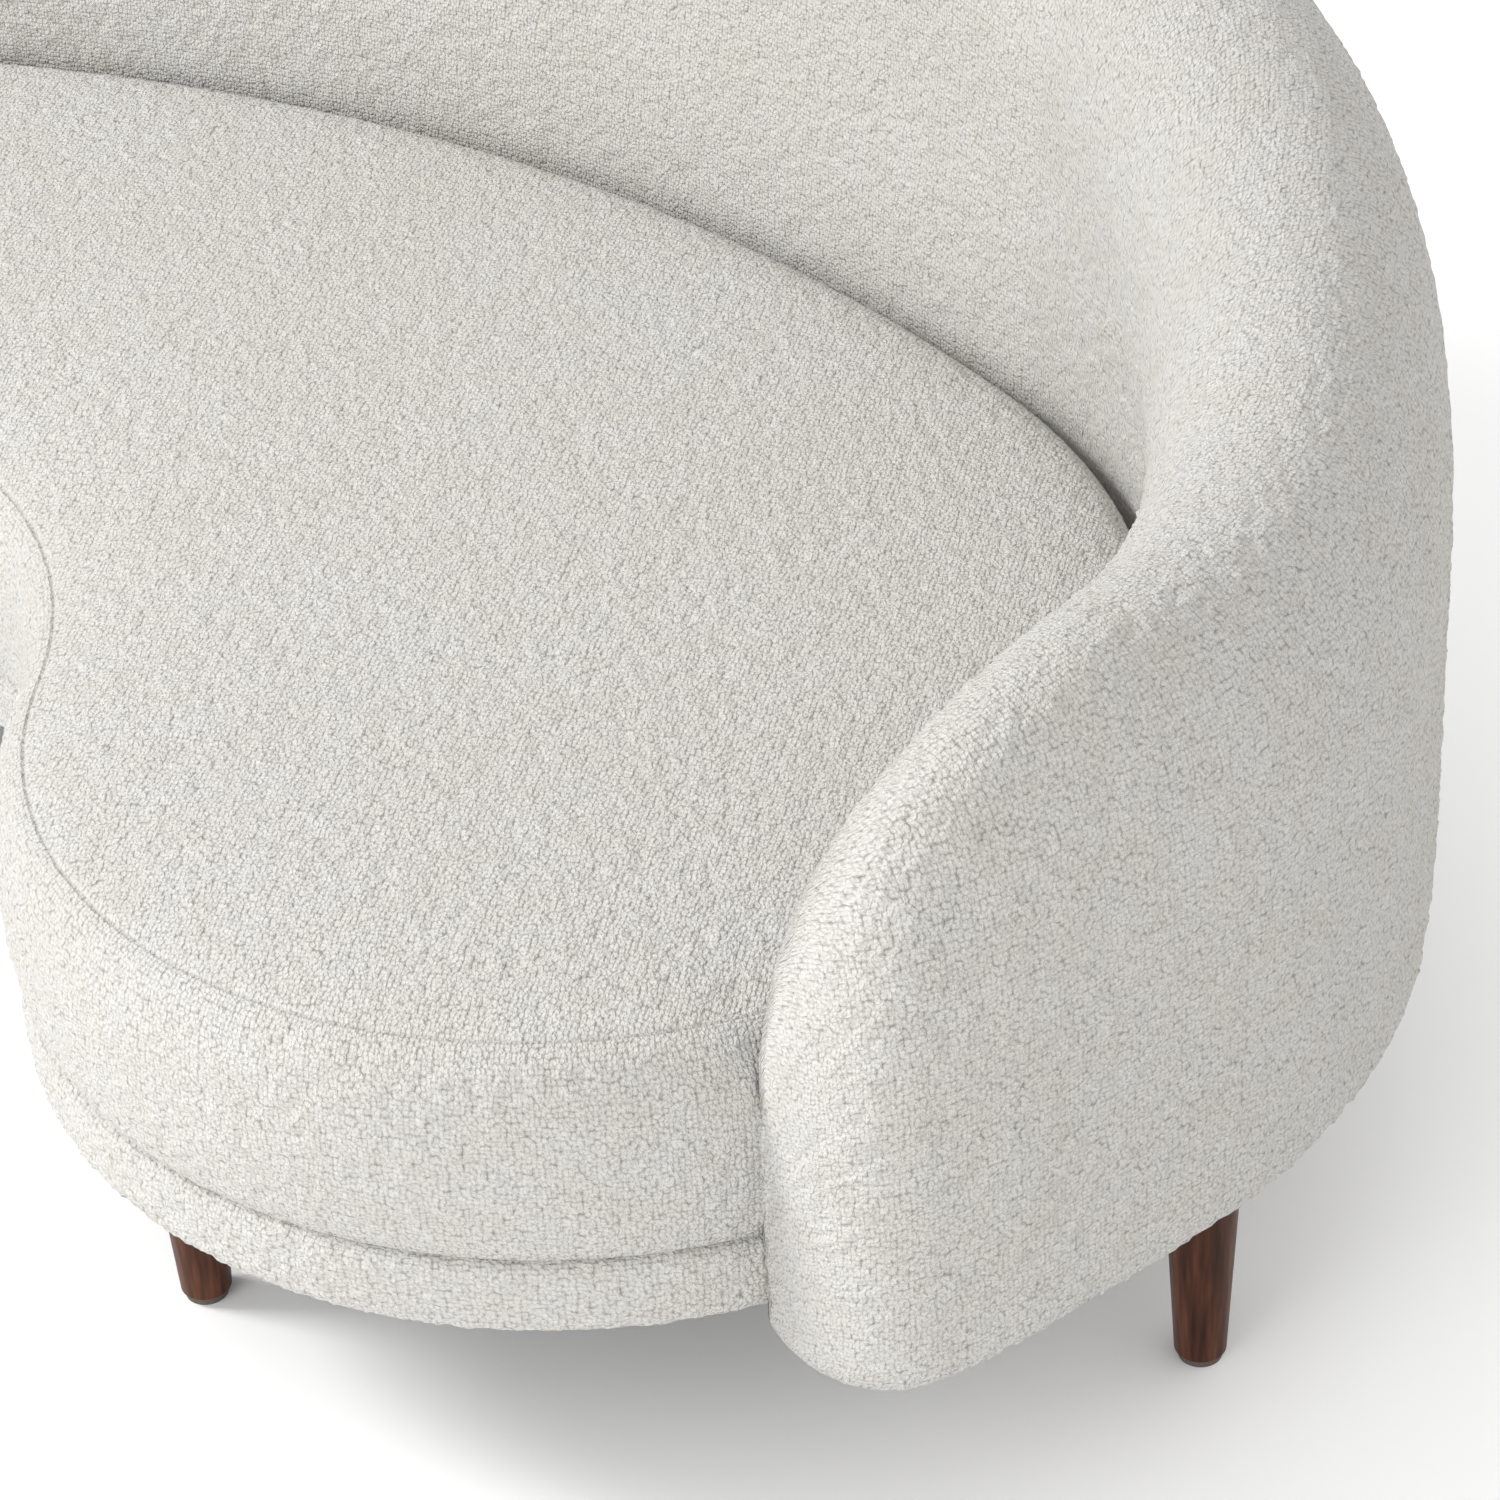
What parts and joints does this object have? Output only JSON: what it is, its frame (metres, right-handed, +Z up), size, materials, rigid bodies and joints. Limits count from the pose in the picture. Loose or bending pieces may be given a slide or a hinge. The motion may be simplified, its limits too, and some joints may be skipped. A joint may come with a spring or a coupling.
{
  "type": "curved sofa",
  "caption": "Curved ivory boucle sofa with a kidney-shaped tight seat, a rounded wrap-around back and tapered dark walnut legs.",
  "frame": {"origin": "on the floor, midway across the width and midway through the depth", "axes": "+X across the width, -Y towards the front of the seat, +Z up"},
  "size_m": [2.4182, 1.3196, 0.7303],
  "materials": {
    "boucle": "looped ivory boucle, matt",
    "walnut": "dark walnut stain under a satin lacquer",
    "foam": "open-cell upholstery foam",
    "dust_cloth": "black non-woven cloth",
    "felt": "pressed felt",
    "steel": "zinc-plated",
    "webbing": "elastic webbing",
    "plywood": "raw birch plywood"
  },
  "bodies": {
    "root": {"arm_upholstery_left": "boucle", "arm_upholstery_right": "boucle", "back_lower_rail": "plywood", "back_middle_rail": "plywood", "back_top_rail": "plywood", "back_upholstery": "boucle", "bearer_left": "plywood", "bearer_middle": "plywood", "bearer_right": "plywood", "bottom_ring": "plywood", "dust_cover": "dust_cloth", "glide_front_inner_left": "felt", "glide_front_inner_right": "felt", "glide_front_outer_left": "felt", "glide_front_outer_right": "felt", "glide_rear_left": "felt", "glide_rear_right": "felt", "hanger_bolts": "steel", "joining_plates": "steel", "leg_front_inner_left": "walnut", "leg_front_inner_right": "walnut", "leg_front_outer_left": "walnut", "leg_front_outer_right": "walnut", "leg_rear_left": "walnut", "leg_rear_right": "walnut", "lower_former_1": "plywood", "lower_former_2": "plywood", "lower_former_3": "plywood", "lower_former_4": "plywood", "lower_former_5": "plywood", "lower_former_6": "plywood", "lower_former_7": "plywood", "lower_former_8": "plywood", "lower_former_9": "plywood", "plate_front_inner_left": "steel", "plate_front_inner_right": "steel", "plate_front_outer_left": "steel", "plate_front_outer_right": "steel", "plate_rear_left": "steel", "plate_rear_right": "steel", "plate_screws": "steel", "post_back_left": "plywood", "post_back_right": "plywood", "post_front_left": "plywood", "post_front_right": "plywood", "post_side_left": "plywood", "post_side_right": "plywood", "post_waist": "plywood", "rail_band_upholstery": "boucle", "seat_foam": "foam", "seat_ring": "plywood", "seat_upholstery": "boucle", "upper_former_1": "plywood", "upper_former_2": "plywood", "upper_former_3": "plywood", "upper_former_4": "plywood", "upper_former_5": "plywood", "webbing_front_to_back": "webbing", "webbing_side_to_side": "webbing"}
  },
  "joints": []
}
